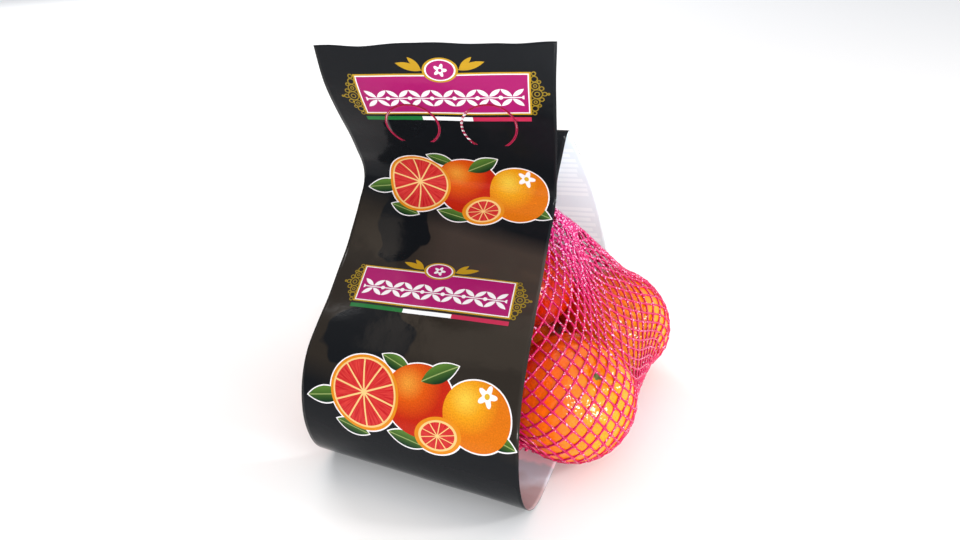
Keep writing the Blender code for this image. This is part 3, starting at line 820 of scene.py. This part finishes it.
def tube_spot(u, v):
    """A point of the slack tube, at a share round and a share up, in millimetres."""
    level = min(v, 1.0)
    x, y, z, wide, deep = (np.interp(level, [ring[0] for ring in TUBE], column)
                           for column in zip(*[(*ring[1], ring[2], ring[3]) for ring in TUBE]))
    flat = max(0.0, (level - TOP_FLATTENS) / TOP_SPAN, (FOOT_SPAN - level) / FOOT_SPAN)
    angle = 2 * math.pi * u
    side = np.sign(math.cos(angle)) * abs(math.cos(angle)) ** SQUARISH
    front = np.sign(math.sin(angle)) * abs(math.sin(angle)) ** SQUARISH
    even = 4.0 * abs(u % 1.0 - 0.5) - 1.0
    side = side * (1.0 - flat) + even * flat
    spot = Vector((x + wide * side, y - deep * front, z))
    if v <= 1.0:
        return spot
    seal = Vector(flat_band(even * SEAL_WIDTH / 2, SEAL_LENGTH))
    seal += Vector((0.0, SEAL_BEHIND - SEAL_HALF_DEPTH * front, -SEAL_BELOW))
    return spot.lerp(seal, (v - 1.0) * NET_ROWS / SEAL_ROWS)


def skin_tree():
    """A search tree of the solid's skin, without the tongue above the gather."""
    bm = bmesh.new()
    bm.from_mesh(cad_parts["mandarin_net"].data)
    bmesh.ops.remove_doubles(bm, verts=bm.verts, dist=0.01 * MM)
    tongue = [face for face in bm.faces if face.calc_center_median().z > TONGUE_FOOT * MM]
    bmesh.ops.delete(bm, geom=tongue, context='FACES')
    bvh = BVHTree.FromBMesh(bm)
    bm.free()
    return bvh


SKIN = skin_tree()


def onto_skin(spot, sink=SKIN_SINK):
    """The nearest place for the net's middle, just under the solid's skin, in millimetres."""
    near, normal, _, _ = SKIN.find_nearest(Vector(spot) * MM)
    return near / MM - normal * sink


# Knot (row, place) lies at (place + row / 2) round the tube, so its two strands go on to
# the same place of the next row and to the place before it.
ROWS = NET_ROWS + SEAL_ROWS
spots = np.array([[tube_spot((place + row / 2) / NET_COLUMNS, row / NET_ROWS)
                   for place in range(NET_COLUMNS)] for row in range(ROWS + 1)])


def along_strands(values):
    """What each knot's neighbours hold on average, less what it holds itself."""
    total, count = np.zeros_like(values), np.zeros((len(values), 1, 1))
    for turn in (0, 1):
        total[:-1] += np.roll(values[1:], turn, axis=1)
        total[1:] += np.roll(values[:-1], -turn, axis=1)
        count[:-1] += 1
        count[1:] += 1
    return total / count - values


# the net is drawn down on the fruit: legs keep their length, knots stay on the skin
for sweep in range(SWEEPS):
    for _ in range(LEG_PASSES):
        move = np.zeros_like(spots)
        for turn in (0, 1):
            span = np.roll(spots[1:], turn, axis=1) - spots[:-1]
            length = np.maximum(np.linalg.norm(span, axis=2, keepdims=True), 0.01)
            extra = length - LEG
            pull = span / length * extra * np.where(extra > 0, STIFF_LONG, STIFF_SHORT)
            move[:-1] += pull
            move[1:] -= np.roll(pull, -turn, axis=1)
        curving = along_strands(spots)
        move += EVEN_OUT * curving - STRAIGHTEN * along_strands(curving)
        spots[1:NET_ROWS] += move[1:NET_ROWS]
    for row in range(1, NET_ROWS):
        spots[row] = [onto_skin(spot) for spot in spots[row]]

# where the strands are bunched they stand behind each other and are fluffed up: (share of
# the way up, how bunched they are)
BUNCHING = [(0.0, 1.0), (0.08, 0.5), (0.14, 0.0), (0.72, 0.0), (0.84, 1.0), (1.0, 0.6)]
BUNCHED = np.interp(np.arange(ROWS + 1) / NET_ROWS, *zip(*BUNCHING))
FLUFF = 0.5                   # how much thicker a bunched strand is between its knots
STRAY, BUNCHED_STRAY = 0.15, 1.1        # how far a knot strays along the skin
noise.seed_set(7)             # without a seed, noise_vector takes the clock's
for row in range(1, NET_ROWS):
    bunched = float(BUNCHED[row])
    for place in range(NET_COLUMNS):
        spot = Vector(spots[row, place])
        wave = noise.noise(spot * COARSE) + 0.6 * noise.noise(spot * FINE)
        side = noise.noise_vector(spot * STRAY_WAVE) * (STRAY + BUNCHED_STRAY * bunched)
        spots[row, place] = onto_skin(spot + side,
                                      SKIN_SINK + CRUMPLE * bunched * max(0.0, 0.5 + wave))


def strand_family(name, turn):
    """All strands that lean one way, as one mesh of tubes thickened at the knots."""
    curve = bpy.data.curves.new(name, 'CURVE')
    curve.dimensions = '3D'
    curve.bevel_depth = STRAND_RADIUS * MM
    curve.bevel_resolution = 1
    curve.use_fill_caps = True
    for place in range(NET_COLUMNS):
        knots = [Vector(spots[row, (place - turn * row) % NET_COLUMNS]) for row in range(ROWS + 1)]
        points = [(knots[0], KNOT)]
        for row in range(ROWS):
            middle = (knots[row] + knots[row + 1]) / 2
            if 0 < row < NET_ROWS - 1:
                middle = middle.lerp(onto_skin(middle), HUG)
            points += [(middle, 1.0 + FLUFF * float(BUNCHED[row])), (knots[row + 1], KNOT)]
        strand = curve.splines.new('POLY')
        strand.points.add(len(points) - 1)
        for point, (spot, thick) in zip(strand.points, points):
            point.co = (*(spot * MM), 1.0)
            point.radius = thick
    tubes = bpy.data.objects.new(name, curve)
    bpy.context.scene.collection.objects.link(tubes)
    return settled(tubes)


# Polyethylene net strands: glossy crimson-magenta plastic, with painted whitish glints as small
# flecks on the strands, most of them in the bunched part.
CRIMSON, BRIGHT_CRIMSON, BUNCHED_MAGENTA, PAINTED_GLINT = "AC0440", "CC0A56", "BC0C6C", "E2A4C8"
BUNCH_TINT = {1: 0.07, 2: 0.105, 4: 0.8}    # by height in metres
GLINT_LIMIT = {1: 0.045, 2: 0.105, 3: 0.68, 4: 0.585}

strands, tree, shader = new_material("polyethylene_net")
where = add(tree, "TexCoord", out=3)
_, _, z = add(tree, "SeparateXYZ", {0: where}).node.outputs
drawn = add(tree, "TexNoise", {"Vector": where, "Scale": 160.0, "Detail": 2.0})
colour = inked(tree, CRIMSON, BRIGHT_CRIMSON, drawn)
bunch = add(tree, "MapRange", {0: z, **BUNCH_TINT})
colour = inked(tree, colour, BUNCHED_MAGENTA, bunch)
# painted glints: whitish specks from a fine noise, more of them higher up
glint_noise = add(tree, "TexNoise", {"Vector": where, "Scale": 900.0, "Detail": 1.0})
glint_threshold = add(tree, "MapRange", {0: z, **GLINT_LIMIT})
painted_glints = add(tree, "Math", {0: glint_noise, 1: glint_threshold}, operation='GREATER_THAN')
tree.links.new(inked(tree, colour, PAINTED_GLINT, painted_glints), shader.inputs["Base Color"])
shader.inputs["Roughness"].default_value = 0.22
shader.inputs["IOR"].default_value = 1.5

for name, turn in (("net_strands_right", 0), ("net_strands_left", 1)):
    family = strand_family(name, turn)
    family.data.materials.append(strands)
    for face in family.data.polygons:
        face.use_smooth = True
    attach(family, "root")
    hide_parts("mandarin_net")


# ---- floor, light and camera -------------------------
# A plain pale floor and surround.  Small strong lamps in front and on the right give the
# fruit its highlights, a large one behind on the left and a dim warm ceiling light the
# film, and the camera stands where the photograph was taken.

bpy.context.scene.view_settings.view_transform = 'Standard'

# Matt pale paint, which takes soft shadows and mirrors nothing.
floor_paint, tree, shader = new_material("matt_floor_paint")
shader.inputs["Base Color"].default_value = linear("F1F1F1")
shader.inputs["Roughness"].default_value = 0.8
bm = bmesh.new()
bmesh.ops.create_grid(bm, x_segments=1, y_segments=1, size=40.0)
floor = new_piece("floor", bm, floor_paint)

# the surround is bright on the right and dim on the left, where the film would mirror it
BRIGHT_SIDE = (0.94, -0.12, 0.32)
BRIGHTEN = {1: -0.3, 2: 0.6, 3: 0.3, 4: 1.15}   # by how far a direction turns to that side
world = bpy.data.worlds.new("pale_surround")
world.use_nodes = True
tree = world.node_tree
toward = add(tree, "VectorMath", {0: add(tree, "TexCoord"), 1: BRIGHT_SIDE}, out=1,
             operation='DOT_PRODUCT')
background = tree.nodes["Background"]
background.inputs["Color"].default_value = linear("F4F6FA")
tree.links.new(add(tree, "MapRange", {0: toward, **BRIGHTEN}), background.inputs["Strength"])
bpy.context.scene.world = world

# square lamps: name, place, the place that it faces, width in metres, watts and tint
LAMPS = [("front_lamp", (0.6, -1.15, 0.5), (0.07, -0.04, 0.05), 0.13, 9.5, "FFFFFF"),
         ("side_lamp", (1.2, 0.15, 0.62), (0.05, 0.0, 0.08), 0.16, 5.0, "FFFFFF"),
         ("low_lamp", (1.2, -0.72, 0.1), (0.08, 0.0, 0.05), 0.17, 8.0, "FFFFFF"),
         ("rear_lamp", (-2.2, 2.0, 1.8), (-1.4, 1.3, 0.0), 1.6, 52.0, "FFFFFF"),
         ("ceiling", (-0.3, 0.35, 1.2), (-0.3, 0.35, 0.0), 0.9, 4.0, "ECD6BE")]
for name, stand, target, width, power, tint in LAMPS:
    light = bpy.data.lights.new(name, 'AREA')
    light.size = width
    light.energy = power
    light.color = linear(tint)[:3]
    lamp = bpy.data.objects.new(name, light)
    bpy.context.scene.collection.objects.link(lamp)
    lamp.location = stand
    lamp.rotation_euler = (Vector(target) - Vector(stand)).to_track_quat('-Z', 'Y').to_euler()

CAMERA_AT = (0.16057, -0.36894, 0.25920)
CAMERA_YAW, CAMERA_PITCH, CAMERA_ROLL = 22.294, -23.632, -3.307
camera_data = bpy.data.cameras.new("camera")
camera_data.lens = 30.0
camera_data.sensor_width = 36.0
camera = bpy.data.objects.new("camera", camera_data)
bpy.context.scene.collection.objects.link(camera)
camera.matrix_world = (Matrix.Translation(CAMERA_AT)
                       @ Matrix.Rotation(math.radians(CAMERA_YAW), 4, 'Z')
                       @ Matrix.Rotation(math.radians(90.0 + CAMERA_PITCH), 4, 'X')
                       @ Matrix.Rotation(math.radians(CAMERA_ROLL), 4, 'Z'))
bpy.context.scene.camera = camera
